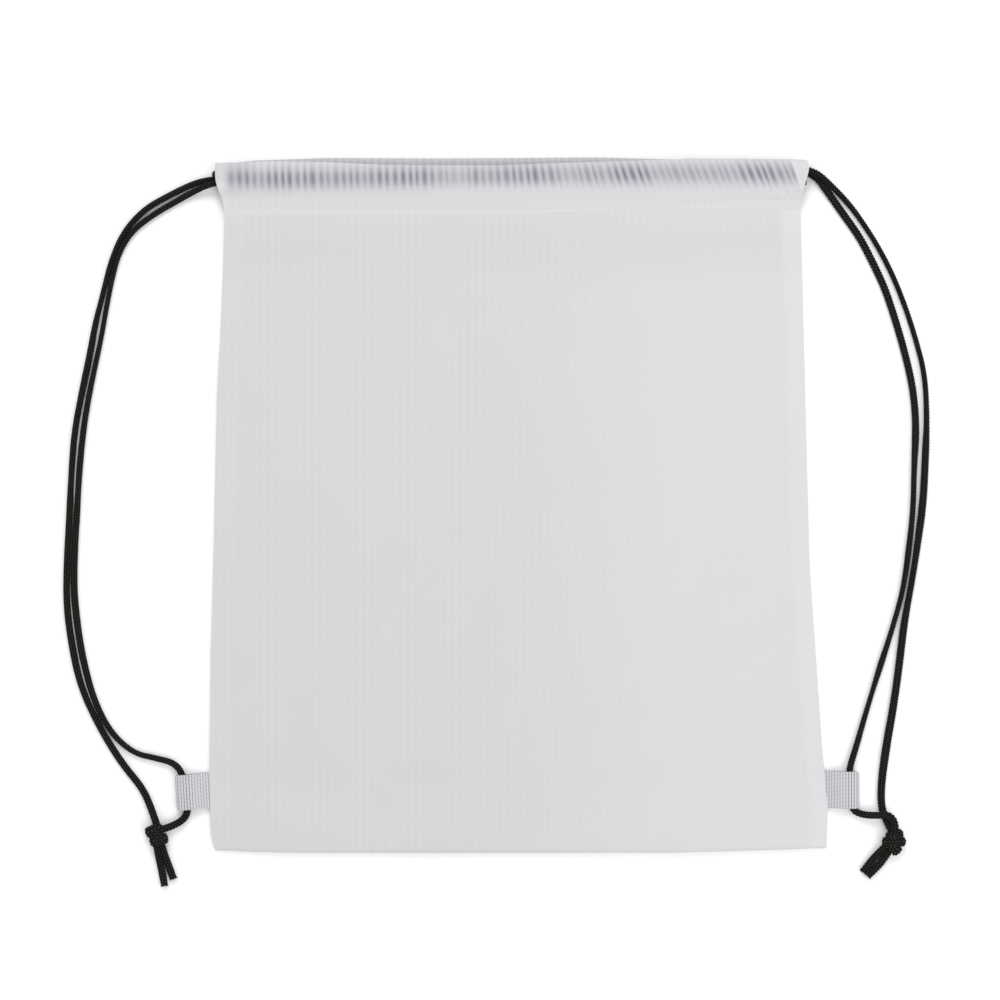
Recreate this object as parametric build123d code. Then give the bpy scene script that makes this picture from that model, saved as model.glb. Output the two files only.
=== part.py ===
"""A flat drawstring bag: one folded cloth, two cased hems, two folded tabs and two knotted cords.

The bag lies on its back. +X is the wearer's right as seen from above, +Y runs from the bottom fold to the
mouth, +Z is up from the surface it lies on. The origin is the middle of the bag on that surface.
"""

import os
from math import radians, tan

from build123d import *

# ---- driving dimensions, in millimetres ----
BAG_LENGTH = 403.0        # bottom fold to casing top
BOTTOM_HALF = 179.5       # half width at the bottom fold
NECK_HALF = 167.2         # half width just under the casings
MOUTH_HALF = 172.2        # half width of the casings at their top fold
CLOTH = 0.5               # one layer of cloth
HEM_EDGE_Y = 168.3        # lower edge of the casing hems
STITCH_Y = 172.0          # the line that sews the hems
CHANNEL_Y = 173.5         # where the casing opens out above its stitches
CASING_H = 5.8            # height of a casing with its cords in it
MOUTH_GAP = 4.5           # the slack mouth between the two casings
ALLOWANCE = 12.0          # width of the side seam allowances
THREAD = 0.4              # sewing thread
CORD_D = 4.2              # braided cord
CORD_REST_Z = 2.2         # centre of a cord that lies on the floor
RUN_GAP = 0.3             # clearance between pieces on different bodies
TAB_REACH = 21.6          # how far a tab stands out from the side seam
TAB_WIDTH = 21.0          # width of the tab's webbing
TAB_MID_Y = -167.0        # middle of the tabs, above the bottom fold
WEBBING = 1.2             # thickness of the tab's webbing
TAB_H = 8.0               # height of the open tab loop
KNOT_D = 14.0             # overhand knot, across
KNOT_H = 9.6              # overhand knot, high
LEFT_RUN_Y = 188.6        # the left cord's runs in both casings
RIGHT_RUN_Y = 194.2       # the right cord's runs, beside it

TOP_Y = BAG_LENGTH / 2
FOLD_Z = (CASING_H + MOUTH_GAP + CLOTH) / 2
FOLD_Y = -TOP_Y + FOLD_Z
FRONT_Z = CASING_H + MOUTH_GAP
BACK_CORD_Z = CASING_H / 2
FRONT_CORD_Z = FRONT_Z + CASING_H / 2
CASING_TOP_Z = FRONT_Z + CASING_H

os.makedirs("parts", exist_ok=True)


def save(shape, node):
    """Writes one piece to its own file."""
    export_step(shape, f"parts/{node}.step")


def side_x(y):
    """Half width of the bag below the casings, which widens towards the bottom."""
    share = (HEM_EDGE_Y - y) / (HEM_EDGE_Y + TOP_Y)
    return NECK_HALF + (BOTTOM_HALF - NECK_HALF) * share


def mouth_x(y):
    """Half width of the casings, which flare towards their top fold."""
    share = (y - HEM_EDGE_Y) / (TOP_Y - HEM_EDGE_Y)
    return NECK_HALF + (MOUTH_HALF - NECK_HALF) * share


def slab(corners, low, high):
    """A flat piece with the given corners between two heights."""
    return Pos(0, 0, low) * extrude(Polygon(*corners, align=None), high - low)


def trimmed(low_y, high_y, low, high, inset=0.0):
    """The bag's outline between two places along it, drawn in by inset at each side."""
    low_x = side_x(low_y) - inset
    high_x = side_x(high_y) - inset
    return slab([(-low_x, low_y), (low_x, low_y), (high_x, high_y), (-high_x, high_y)], low, high)


def both_sides(right, name):
    """Writes a piece of the right side and its mirror image."""
    save(right, f"right_{name}")
    save(mirror(right, about=Plane.YZ), f"left_{name}")


# ---- the cloth: back, bottom fold and front are one length of cloth ----
save(trimmed(FOLD_Y, HEM_EDGE_Y, 0, CLOTH), "back_panel")
save(trimmed(FOLD_Y + RUN_GAP, HEM_EDGE_Y, FRONT_Z, FRONT_Z + CLOTH), "front_panel")

fold_ring = Circle(FOLD_Z) - Circle(FOLD_Z - CLOTH)
fold_half = fold_ring & Pos(-FOLD_Z, 0) * Rectangle(2 * FOLD_Z, 2 * FOLD_Z)
fold_plane = Plane(origin=(-BOTTOM_HALF, FOLD_Y, FOLD_Z), x_dir=(0, 1, 0), z_dir=(1, 0, 0))
bottom_fold = extrude(fold_plane * fold_half, 2 * BOTTOM_HALF)
save(bottom_fold & trimmed(-TOP_Y - 1, FOLD_Y + 1, -1, 2 * FOLD_Z + 1), "bottom_fold")

# ---- the side seams: a turned-up edge of cloth, the allowance inside it, and its thread ----
allowance_top = CLOTH + 2 * CLOTH
side_top = FRONT_Z - RUN_GAP
low_x = side_x(FOLD_Y)
high_x = side_x(HEM_EDGE_Y)
allowance = slab(
    [(low_x - ALLOWANCE, FOLD_Y), (low_x, FOLD_Y), (high_x, HEM_EDGE_Y), (high_x - ALLOWANCE, HEM_EDGE_Y)],
    CLOTH,
    allowance_top,
)
side_edge = slab(
    [(low_x - CLOTH, FOLD_Y), (low_x, FOLD_Y), (high_x, HEM_EDGE_Y), (high_x - CLOTH, HEM_EDGE_Y)],
    allowance_top,
    side_top,
)
thread_out = 2 * CLOTH
seam_thread = slab(
    [
        (low_x - thread_out - THREAD, FOLD_Y),
        (low_x - thread_out, FOLD_Y),
        (high_x - thread_out, HEM_EDGE_Y),
        (high_x - thread_out - THREAD, HEM_EDGE_Y),
    ],
    allowance_top,
    allowance_top + THREAD,
)
both_sides(allowance, "seam_allowance")
both_sides(side_edge, "side_seam")
both_sides(seam_thread, "side_seam_thread")


# ---- the casings: a hem turned inside and stitched, open at both ends ----
def casing(low):
    """A flattened tube of cloth across the bag with its stitched hem edge below it."""
    middle_y = (CHANNEL_Y + TOP_Y) / 2
    width = TOP_Y - CHANNEL_Y
    section = Plane(origin=(-MOUTH_HALF, middle_y, low + CASING_H / 2), x_dir=(0, 1, 0), z_dir=(1, 0, 0))
    outer = extrude(section * SlotOverall(width, CASING_H), 2 * MOUTH_HALF)
    inner = extrude(section * SlotOverall(width - 2 * CLOTH, CASING_H - 2 * CLOTH), 2 * MOUTH_HALF)
    hem = slab(
        [(-MOUTH_HALF, HEM_EDGE_Y), (MOUTH_HALF, HEM_EDGE_Y), (MOUTH_HALF, middle_y), (-MOUTH_HALF, middle_y)],
        low,
        low + 2 * CLOTH,
    )
    half_low = mouth_x(HEM_EDGE_Y)
    half_high = mouth_x(TOP_Y)
    ends = slab(
        [(-half_low, HEM_EDGE_Y), (half_low, HEM_EDGE_Y), (half_high, TOP_Y), (-half_high, TOP_Y)],
        low - 1,
        low + CASING_H + 1,
    )
    return (outer + hem - inner) & ends


def thread_across(low):
    """The row of stitches that holds a hem, as one thread along the casing."""
    half = mouth_x(STITCH_Y) - 1
    return slab(
        [(-half, STITCH_Y), (half, STITCH_Y), (half, STITCH_Y + THREAD), (-half, STITCH_Y + THREAD)],
        low,
        low + THREAD,
    )


save(casing(0), "back_casing")
save(casing(FRONT_Z), "front_casing")
save(thread_across(2 * CLOTH), "back_casing_thread")
save(thread_across(FRONT_Z + 2 * CLOTH), "front_casing_thread")

# each casing end is turned in and held by stitches across the casing
END_HEM = 4.0
end_low_y = CHANNEL_Y + CASING_H / 2
end_high_y = TOP_Y - CASING_H / 2
end_low_x = mouth_x(end_low_y) - END_HEM
end_high_x = mouth_x(end_high_y) - END_HEM
end_thread = slab(
    [
        (end_low_x, end_low_y),
        (end_low_x + THREAD, end_low_y),
        (end_high_x + THREAD, end_high_y),
        (end_high_x, end_high_y),
    ],
    CASING_TOP_Z,
    CASING_TOP_Z + THREAD,
)
both_sides(end_thread, "front_casing_end_thread")
both_sides(Pos(0, 0, CASING_H - CASING_TOP_Z) * end_thread, "back_casing_end_thread")


# ---- the tabs: webbing folded into a loop, its two ends sewn into the side seam ----
def tab():
    """The right tab, a loop open along Y for the cord."""
    low_y = TAB_MID_Y - TAB_WIDTH / 2
    root_x = BOTTOM_HALF - 10
    tip_x = side_x(TAB_MID_Y) + TAB_REACH
    length = 2 * (tip_x - root_x)
    section = Plane(origin=(root_x, low_y, TAB_H / 2), x_dir=(1, 0, 0), z_dir=(0, -1, 0))
    loop = SlotOverall(length, TAB_H) - SlotOverall(length - 2 * WEBBING, TAB_H - 2 * WEBBING)
    whole = extrude(section * loop, -TAB_WIDTH)
    return whole - trimmed(low_y - 10, low_y + TAB_WIDTH + 10, -1, TAB_H + 1)


def tab_thread():
    """Two short bars of stitches on top of the right tab, beside the seam."""
    bars = []
    for inset in (1.2, 2.6):
        x = side_x(TAB_MID_Y) + inset
        low_y = TAB_MID_Y - TAB_WIDTH / 2 + 2
        high_y = low_y + TAB_WIDTH - 4
        bars.append(slab([(x, low_y), (x + THREAD, low_y), (x + THREAD, high_y), (x, high_y)], TAB_H, TAB_H + THREAD))
    return Compound(children=bars)


both_sides(tab(), "tab")
both_sides(tab_thread(), "tab_thread")


# ---- the cords ----
def bend_radii(route):
    """The largest tangent arc that each corner of a route has room for."""
    radii = []
    for before, corner, after in zip(route, route[1:], route[2:]):
        run_in = Vector(*corner) - Vector(*before)
        run_out = Vector(*after) - Vector(*corner)
        turn = run_in.get_angle(run_out)
        radii.append(0.45 * min(run_in.length, run_out.length) / tan(radians(turn) / 2))
    return radii


def cord(route, node, ball_start=False):
    """A round cord along straight runs joined by tangent arcs; ball_start rounds the end it swings about."""
    radii = bend_radii(route)
    if radii:
        path = FilletPolyline(*route, radius=radii)
        print(node, "length", round(path.length, 1), "smallest bend", round(min(radii), 1))
    else:
        path = Line(*route)
    start = Plane(origin=path @ 0, z_dir=path % 0)
    tube = sweep(start * Circle(CORD_D / 2), path=path)
    if ball_start:
        tube = tube + Pos(*route[0]) * Sphere(CORD_D / 2)
    save(tube, node)


# runs inside the casings: each cord goes through both, and turns back outside the far end
EXIT_INSET = 1.5
LEFT_EXIT_X = -mouth_x(LEFT_RUN_Y)
RIGHT_EXIT_X = mouth_x(RIGHT_RUN_Y)
for level, z in (("back", BACK_CORD_Z), ("front", FRONT_CORD_Z)):
    left_run = [(LEFT_EXIT_X + EXIT_INSET, LEFT_RUN_Y, z), (-LEFT_EXIT_X, LEFT_RUN_Y, z)]
    right_run = [(RIGHT_EXIT_X - EXIT_INSET, RIGHT_RUN_Y, z), (-RIGHT_EXIT_X, RIGHT_RUN_Y, z)]
    cord(left_run, f"left_cord_{level}_run")
    cord(right_run, f"right_cord_{level}_run")


def cord_turn(x, y, outwards, node):
    """The tight turn that takes a cord from the back casing up into the front casing."""
    radius = 2.3
    start_x = x + outwards * RUN_GAP
    turn_x = start_x + outwards * (radius + 0.1)
    route = [
        (start_x, y, BACK_CORD_Z),
        (turn_x, y, BACK_CORD_Z),
        (turn_x, y, FRONT_CORD_Z),
        (start_x, y, FRONT_CORD_Z),
    ]
    path = FilletPolyline(*route, radius=radius)
    section = Plane(origin=path @ 0, z_dir=path % 0) * Circle(CORD_D / 2)
    save(sweep(section, path=path), node)


cord_turn(-LEFT_EXIT_X, LEFT_RUN_Y, 1, "left_cord_turn")
cord_turn(-RIGHT_EXIT_X, RIGHT_RUN_Y, -1, "right_cord_turn")

# leads: the short stretch of each strand from the casing end down to where the strap swings from
SWING_Z = TAB_H / 2
LEAD_END = CORD_D / 2 + RUN_GAP
LEFT_OUTER_START = (-187.4, 186.6, SWING_Z)
LEFT_INNER_START = (-187.47, 181.4, SWING_Z)
RIGHT_OUTER_START = (184.6, 184.4, SWING_Z)
RIGHT_INNER_START = (184.79, 178.0, SWING_Z)


def lead(route, swing_point, node):
    """A lead that ends square to its own direction, just short of the ball it meets."""
    last = Vector(*route[-1])
    towards = (last - Vector(*swing_point)).normalized()
    end = Vector(*swing_point) + towards * LEAD_END
    cord([*route, (end.X, end.Y, end.Z)], node)


lead(
    [(LEFT_EXIT_X - RUN_GAP, LEFT_RUN_Y, BACK_CORD_Z), (-178.0, 188.4, 3.0)],
    LEFT_OUTER_START,
    "left_outer_lead",
)
lead(
    [
        (LEFT_EXIT_X - RUN_GAP, LEFT_RUN_Y, FRONT_CORD_Z),
        (-175.4, 188.2, 12.8),
        (-181.4, 183.4, 6.2),
    ],
    LEFT_INNER_START,
    "left_inner_lead",
)
lead(
    [
        (RIGHT_EXIT_X + RUN_GAP, RIGHT_RUN_Y, FRONT_CORD_Z),
        (176.4, 193.9, 12.9),
        (182.8, 190.2, 6.4),
    ],
    RIGHT_OUTER_START,
    "right_outer_lead",
)
lead(
    [
        (RIGHT_EXIT_X + RUN_GAP, RIGHT_RUN_Y, BACK_CORD_Z),
        (177.4, 193.0, 2.8),
        (179.0, 187.0, 2.6),
        (180.4, 181.4, 3.2),
    ],
    RIGHT_INNER_START,
    "right_inner_lead",
)

# the strands: from the swing point, round the loop of the strap, to the knot below the tab
FLOOR = CORD_REST_Z
cord(
    [
        LEFT_OUTER_START,
        (-200.0, 180.6, 2.4),
        (-215.2, 172.4, FLOOR),
        (-227.8, 159.4, FLOOR),
        (-235.4, 142.4, FLOOR),
        (-239.6, 124.0, FLOOR),
        (-244.6, 106.0, FLOOR),
        (-247.8, 88.0, FLOOR),
        (-252.7, 65.5, FLOOR),
        (-256.6, 43.0, FLOOR),
        (-258.2, 18.0, FLOOR),
        (-259.6, -7.0, FLOOR),
        (-261.3, -32.0, FLOOR),
        (-261.2, -57.0, FLOOR),
        (-258.0, -81.0, FLOOR),
        (-251.8, -105.5, FLOOR),
        (-241.0, -128.5, FLOOR),
        (-228.5, -150.0, FLOOR),
        (-217.0, -163.6, FLOOR),
        (-211.4, -175.0, 2.8),
        (-208.4, -186.2, 4.0),
    ],
    "left_outer_strand",
    ball_start=True,
)
cord(
    [
        LEFT_INNER_START,
        (-198.4, 175.4, 2.5),
        (-210.4, 168.4, FLOOR),
        (-221.8, 159.0, FLOOR),
        (-229.2, 146.2, FLOOR),
        (-232.8, 131.0, FLOOR),
        (-236.6, 113.0, FLOOR),
        (-240.6, 96.0, FLOOR),
        (-245.8, 74.0, FLOOR),
        (-250.2, 50.5, FLOOR),
        (-253.0, 26.0, FLOOR),
        (-254.4, 1.5, FLOOR),
        (-256.0, -24.0, FLOOR),
        (-256.4, -49.0, FLOOR),
        (-253.9, -72.5, FLOOR),
        (-249.4, -92.0, FLOOR),
        (-242.4, -113.0, FLOOR),
        (-233.4, -130.6, FLOOR),
        (-221.4, -142.6, FLOOR),
        (-207.4, -147.2, 2.8),
        (-196.8, -148.8, 3.8),
        (-191.95, -153.6, SWING_Z),
        (-192.4, -167.2, SWING_Z),
        (-192.3, -180.2, SWING_Z),
        (-197.4, -184.4, SWING_Z),
        (-203.6, -188.4, 4.6),
    ],
    "left_inner_strand",
    ball_start=True,
)
cord(
    [
        RIGHT_OUTER_START,
        (193.2, 175.6, 2.4),
        (204.2, 163.4, FLOOR),
        (213.0, 149.2, FLOOR),
        (220.6, 133.6, FLOOR),
        (227.4, 115.6, FLOOR),
        (233.4, 96.6, FLOOR),
        (238.3, 76.6, FLOOR),
        (239.7, 52.0, FLOOR),
        (238.9, 27.6, FLOOR),
        (237.0, 3.0, FLOOR),
        (233.9, -19.6, FLOOR),
        (230.6, -44.0, FLOOR),
        (226.3, -68.0, FLOOR),
        (223.7, -91.0, FLOOR),
        (220.0, -115.0, FLOOR),
        (216.0, -138.0, FLOOR),
        (213.0, -158.0, FLOOR),
        (212.6, -173.0, FLOOR),
        (215.6, -182.6, 2.6),
        (218.6, -190.2, 3.4),
    ],
    "right_outer_strand",
    ball_start=True,
)
cord(
    [
        RIGHT_INNER_START,
        (192.4, 167.6, 2.5),
        (201.4, 154.4, FLOOR),
        (209.4, 139.6, FLOOR),
        (215.4, 126.0, FLOOR),
        (221.2, 108.6, FLOOR),
        (226.6, 89.6, FLOOR),
        (231.4, 68.0, FLOOR),
        (233.0, 46.0, FLOOR),
        (232.0, 22.0, FLOOR),
        (230.9, -2.0, FLOOR),
        (228.3, -25.0, FLOOR),
        (224.9, -49.0, FLOOR),
        (218.0, -73.0, FLOOR),
        (210.2, -97.6, FLOOR),
        (203.2, -121.6, FLOOR),
        (197.8, -139.4, 2.8),
        (194.6, -153.6, SWING_Z),
        (195.3, -167.2, SWING_Z),
        (195.9, -180.6, SWING_Z),
        (201.4, -184.6, 5.4),
        (208.6, -184.4, 9.4),
        (217.2, -184.0, 9.4),
        (222.8, -190.2, 6.8),
    ],
    "right_inner_strand",
    ball_start=True,
)


def knot(x, y, node):
    """An overhand knot in two strands, as a round lump."""
    edge = KNOT_H / 2 - 0.1
    lump = Pos(x, y, KNOT_H / 2) * Cylinder(KNOT_D / 2, KNOT_H)
    save(fillet(lump.edges().filter_by(GeomType.CIRCLE), edge), node)


knot(-208.1, -191.6, "left_knot")
knot(220.4, -195.6, "right_knot")

# the cut ends of each cord, past its knot
cord(
    [(-208.6, -196.8, 3.4), (-206.8, -204.0, FLOOR), (-205.3, -212.0, FLOOR), (-204.2, -220.0, FLOOR)],
    "left_outer_tail",
)
cord(
    [(-203.7, -196.0, 3.4), (-201.2, -203.4, FLOOR), (-199.6, -210.0, FLOOR), (-198.8, -216.8, FLOOR)],
    "left_inner_tail",
)
cord(
    [(218.6, -201.2, 3.4), (214.4, -207.2, FLOOR), (209.2, -212.2, FLOOR), (205.2, -217.4, FLOOR)],
    "right_outer_tail",
)
cord(
    [(214.9, -198.2, 3.4), (210.2, -202.2, FLOOR), (205.0, -206.8, FLOOR), (200.8, -212.2, FLOOR)],
    "right_inner_tail",
)
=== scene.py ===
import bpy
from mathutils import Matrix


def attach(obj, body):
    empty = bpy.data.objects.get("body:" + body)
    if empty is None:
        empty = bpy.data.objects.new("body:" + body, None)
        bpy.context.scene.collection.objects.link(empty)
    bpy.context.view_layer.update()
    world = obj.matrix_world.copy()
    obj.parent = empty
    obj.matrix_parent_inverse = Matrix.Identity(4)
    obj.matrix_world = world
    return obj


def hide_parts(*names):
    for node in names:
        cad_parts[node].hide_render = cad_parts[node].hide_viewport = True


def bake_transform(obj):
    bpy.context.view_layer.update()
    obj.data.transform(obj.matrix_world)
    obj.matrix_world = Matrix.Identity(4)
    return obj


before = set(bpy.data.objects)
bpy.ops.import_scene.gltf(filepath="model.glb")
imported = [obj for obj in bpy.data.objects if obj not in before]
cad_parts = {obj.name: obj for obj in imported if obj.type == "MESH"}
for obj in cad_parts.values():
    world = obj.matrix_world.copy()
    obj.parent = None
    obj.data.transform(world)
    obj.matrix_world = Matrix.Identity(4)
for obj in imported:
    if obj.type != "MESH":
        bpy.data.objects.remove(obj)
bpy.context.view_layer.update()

from math import cos, pi, radians, sin, tau

import bmesh
import bpy
import numpy as np
from mathutils import Vector


# ---- Camera ----
# It looks straight down on the bag through a long lens, so that the flat cloth keeps its shape.
# The view is as wide as the straps and a margin, and its middle is a little left of the bag's.
MM = 0.001
VIEW_WIDTH = 581.4 * MM
VIEW_MIDDLE = (-8.7 * MM, 3.2 * MM)
LENS_MM = 85
SENSOR_MM = 36
bpy.ops.object.select_all(action="DESELECT")
bpy.ops.object.camera_add(location=(*VIEW_MIDDLE, VIEW_WIDTH * LENS_MM / SENSOR_MM), rotation=(0, 0, 0))
camera = bpy.context.object
camera.name = "camera"
camera.data.lens = LENS_MM
camera.data.clip_end = 20
bpy.context.scene.camera = camera


# ---- Cord straps ----
# Black polyester cord, braided in a tube and a little flattened, about 4 mm wide. Each cord's two strands
# leave one end of the casings, lie round the strap's loop and meet in a knot under the tab.
class Maths:
    """A shader socket that takes part in Python sums, each of which adds its Math node."""

    def __init__(self, tree, link):
        self.tree = tree
        self.link = link

    def node(self, kind, settings=None, **inputs):
        """Any other node: its type, its settings, and values or links for its inputs."""
        made = self.tree.nodes.new(kind)
        for key, value in (settings or {}).items():
            if key == "stops":
                ramp = made.color_ramp.elements
                while len(ramp) < len(value):
                    ramp.new(0.5)
                for stop, (place, colour) in zip(ramp, value):
                    stop.position = place
                    stop.color = colour
            else:
                setattr(made, key, value)
        for key, value in inputs.items():
            socket = made.inputs[int(key[1:])] if key[0] == "_" else made.inputs[key.replace("_", " ")]
            if isinstance(value, Maths):
                self.tree.links.new(value.link, socket)
            else:
                socket.default_value = value
        return made

    def out(self, made, name=0):
        return Maths(self.tree, made.outputs[name])

    def sum(self, operation, first, second=0.0):
        return self.out(self.node("ShaderNodeMath", {"operation": operation}, _0=first, _1=second))

    def __add__(self, other):
        return self.sum("ADD", self, other)

    __radd__ = __add__

    def __sub__(self, other):
        return self.sum("SUBTRACT", self, other)

    def __rsub__(self, other):
        return self.sum("SUBTRACT", other, self)

    def __mul__(self, other):
        return self.sum("MULTIPLY", self, other)

    __rmul__ = __mul__

    def sine(self):
        return self.sum("SINE", self)

    def noise(self, vector, scale, detail=2.0):
        made = self.node("ShaderNodeTexNoise", None, Vector=vector, Scale=scale, Detail=detail)
        return self.out(made, "Fac")

    def mix(self, share, first, second):
        settings = {"data_type": "RGBA"}
        return self.out(self.node("ShaderNodeMix", settings, _0=share, _6=first, _7=second), 2)


def new_material(name):
    """A material with only its output, and the sum maker that builds the rest."""
    material = bpy.data.materials.new(name)
    material.use_nodes = True
    tree = material.node_tree
    tree.nodes.clear()
    output = tree.nodes.new("ShaderNodeOutputMaterial")
    return material, Maths(tree, None), output


FILAMENTS_AROUND = 60
FILAMENTS_PER_METRE = 900


def cord_material():
    """Black polyester: black in the gaps, lighter on the crowns by a painted highlight and some wear, with
    fine filaments.
    """
    material, maths, output = new_material("black braided cord")
    crown = maths.out(maths.node("ShaderNodeAttribute", {"attribute_name": "crown"}), "Fac")
    uv = maths.out(maths.node("ShaderNodeUVMap", {"uv_map": "cord"}))
    place = maths.node("ShaderNodeSeparateXYZ", None, Vector=uv)
    around, along = maths.out(place, 0), maths.out(place, 1)
    filament = (around * (tau * FILAMENTS_AROUND) + along * (tau * FILAMENTS_PER_METRE)).sine()
    patch = maths.noise(uv, 90.0)
    # The crowns' lighter grey is a painted highlight together with wear.
    dark, crown_highlight_and_wear = (0.0014, 0.0012, 0.0009, 1), (0.072, 0.065, 0.057, 1)
    highlight_and_rub = crown * crown * crown * (0.1 + 0.9 * patch)
    colour = maths.mix(highlight_and_rub + 0.05 * filament, dark, crown_highlight_and_wear)
    bump = maths.node("ShaderNodeBump", None, Height=filament, Strength=0.25, Distance=0.00006)
    shader = maths.node(
        "ShaderNodeBsdfPrincipled",
        None,
        Base_Color=colour,
        Roughness=0.62 + 0.1 * patch,
        Normal=maths.out(bump),
        Specular_IOR_Level=0.07,
        Sheen_Weight=0.01,
        Sheen_Roughness=0.4,
    )
    maths.tree.links.new(shader.outputs[0], output.inputs[0])
    return material


BLACK_CORD = cord_material()
CARRIERS = 8
BRAID_PITCH = 1.8 * MM
BRAID_RELIEF = 0.75 * MM
BRAID_MEAN = 0.75
THINNEST = 3.0 * MM
THICKEST = 3.9 * MM
FLOOR_GAP = 0.05 * MM


def route_line(points):
    """The smooth line of a cord: a NURBS curve with the route's points, given in millimetres."""
    data = bpy.data.curves.new("route", "CURVE")
    data.dimensions = "3D"
    data.resolution_u = 24
    spline = data.splines.new("NURBS")
    spline.points.add(len(points) - 1)
    for point, (x, y, z) in zip(spline.points, points):
        point.co = (x * MM, y * MM, z * MM, 1)
    spline.order_u = 3
    spline.use_endpoint_u = True
    holder = bpy.data.objects.new("route", data)
    mesh = bpy.data.meshes.new_from_object(holder)
    line = np.array([v.co for v in mesh.vertices])
    bpy.data.objects.remove(holder)
    bpy.data.meshes.remove(mesh)
    return line


def steady_frames(centre):
    """Tangent, side and normal all along a line, carried on without twist."""
    tangent = np.gradient(centre, axis=0)
    tangent /= np.linalg.norm(tangent, axis=1)[:, None]
    side = np.zeros_like(tangent)
    start = np.cross(tangent[0], (0.0, 0.0, 1.0))
    if np.linalg.norm(start) < 0.1:
        start = np.cross(tangent[0], (0.0, 1.0, 0.0))
    for i, ahead in enumerate(tangent):
        start = start - ahead * np.dot(start, ahead)
        start /= np.linalg.norm(start)
        side[i] = start
    return tangent, side, np.cross(side, tangent)


def braid_relief(around, along):
    """Height of the braid's floats, each over two of the other way: 0 in a gap, 1 on a crown."""
    one, other = CARRIERS * around + along / BRAID_PITCH, CARRIERS * around - along / BRAID_PITCH
    turn = (np.floor(one) + np.floor(other)) % 4
    one, other = one % 1, other % 1
    upper = turn < 2
    across = np.where(upper, one, other)
    lengthwise = np.where(upper, turn + other, turn - 2 + one) / 2
    return np.sqrt(np.clip(1 - (2 * across - 1) ** 2, 0, 1)) * np.sin(pi * lengthwise) ** 0.6


def braided_tube(name, line, widths, bulk=13.4, step=0.27 * MM, sides=40):
    """A length of the cord along a line, never lower than the floor. widths gives how wide it lies, in
    millimetres, at shares of its length. bulk is its width times its thickness."""
    runs = np.concatenate([[0], np.cumsum(np.linalg.norm(np.diff(line, axis=0), axis=1))])
    along = np.linspace(0, runs[-1], int(runs[-1] / step) + 2)
    centre = np.stack([np.interp(along, runs, line[:, k]) for k in range(3)], 1)
    _, side, normal = steady_frames(centre)
    width = np.interp(along / runs[-1], *np.array(widths).T)[:, None] * MM
    thick = np.clip(bulk * MM * MM / width, THINNEST, THICKEST)
    around = np.arange(sides) / sides
    crown = braid_relief(around[None, :], along[:, None])
    angle = tau * around[None, :]
    out_x, out_y = np.cos(angle) / width, np.sin(angle) / thick
    size = np.hypot(out_x, out_y)
    lift = BRAID_RELIEF * (crown - BRAID_MEAN)
    x = np.cos(angle) * width / 2 + lift * out_x / size
    y = np.sin(angle) * thick / 2 + lift * out_y / size
    rings = centre[:, None] + side[:, None] * x[..., None] + normal[:, None] * y[..., None]
    rings[..., 2] += np.maximum(FLOOR_GAP - rings[..., 2].min(axis=1), 0)[:, None]
    count = len(along)
    corners = [tuple(p) for p in rings.reshape(-1, 3)] + [tuple(centre[0]), tuple(centre[-1])]
    faces = []
    for i in range(count - 1):
        low, high = i * sides, (i + 1) * sides
        for j in range(sides):
            k = (j + 1) % sides
            faces.append((low + j, high + j, high + k, low + k))
    first, last = count * sides, count * sides + 1
    top = (count - 1) * sides
    for j in range(sides):
        k = (j + 1) % sides
        faces.append((first, j, k))
        faces.append((last, top + k, top + j))
    mesh = bpy.data.meshes.new(name)
    mesh.from_pydata(corners, [], faces)
    values = np.concatenate([crown.ravel(), [0.3, 0.3]])
    mesh.attributes.new("crown", "FLOAT", "POINT").data.foreach_set("value", values.astype(np.float32))
    uv = np.stack(np.broadcast_arrays(around[None, :], along[:, None]), -1).reshape(-1, 2)
    uv = np.concatenate([uv, [[0.5, 0], [0.5, along[-1]]]])
    owner = np.empty(len(mesh.loops), np.int32)
    mesh.loops.foreach_get("vertex_index", owner)
    mesh.uv_layers.new(name="cord").data.foreach_set("uv", uv[owner].astype(np.float32).ravel())
    piece = bpy.data.objects.new(name, mesh)
    bpy.context.scene.collection.objects.link(piece)
    mesh.materials.append(BLACK_CORD)
    mesh.shade_smooth()
    return piece


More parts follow.
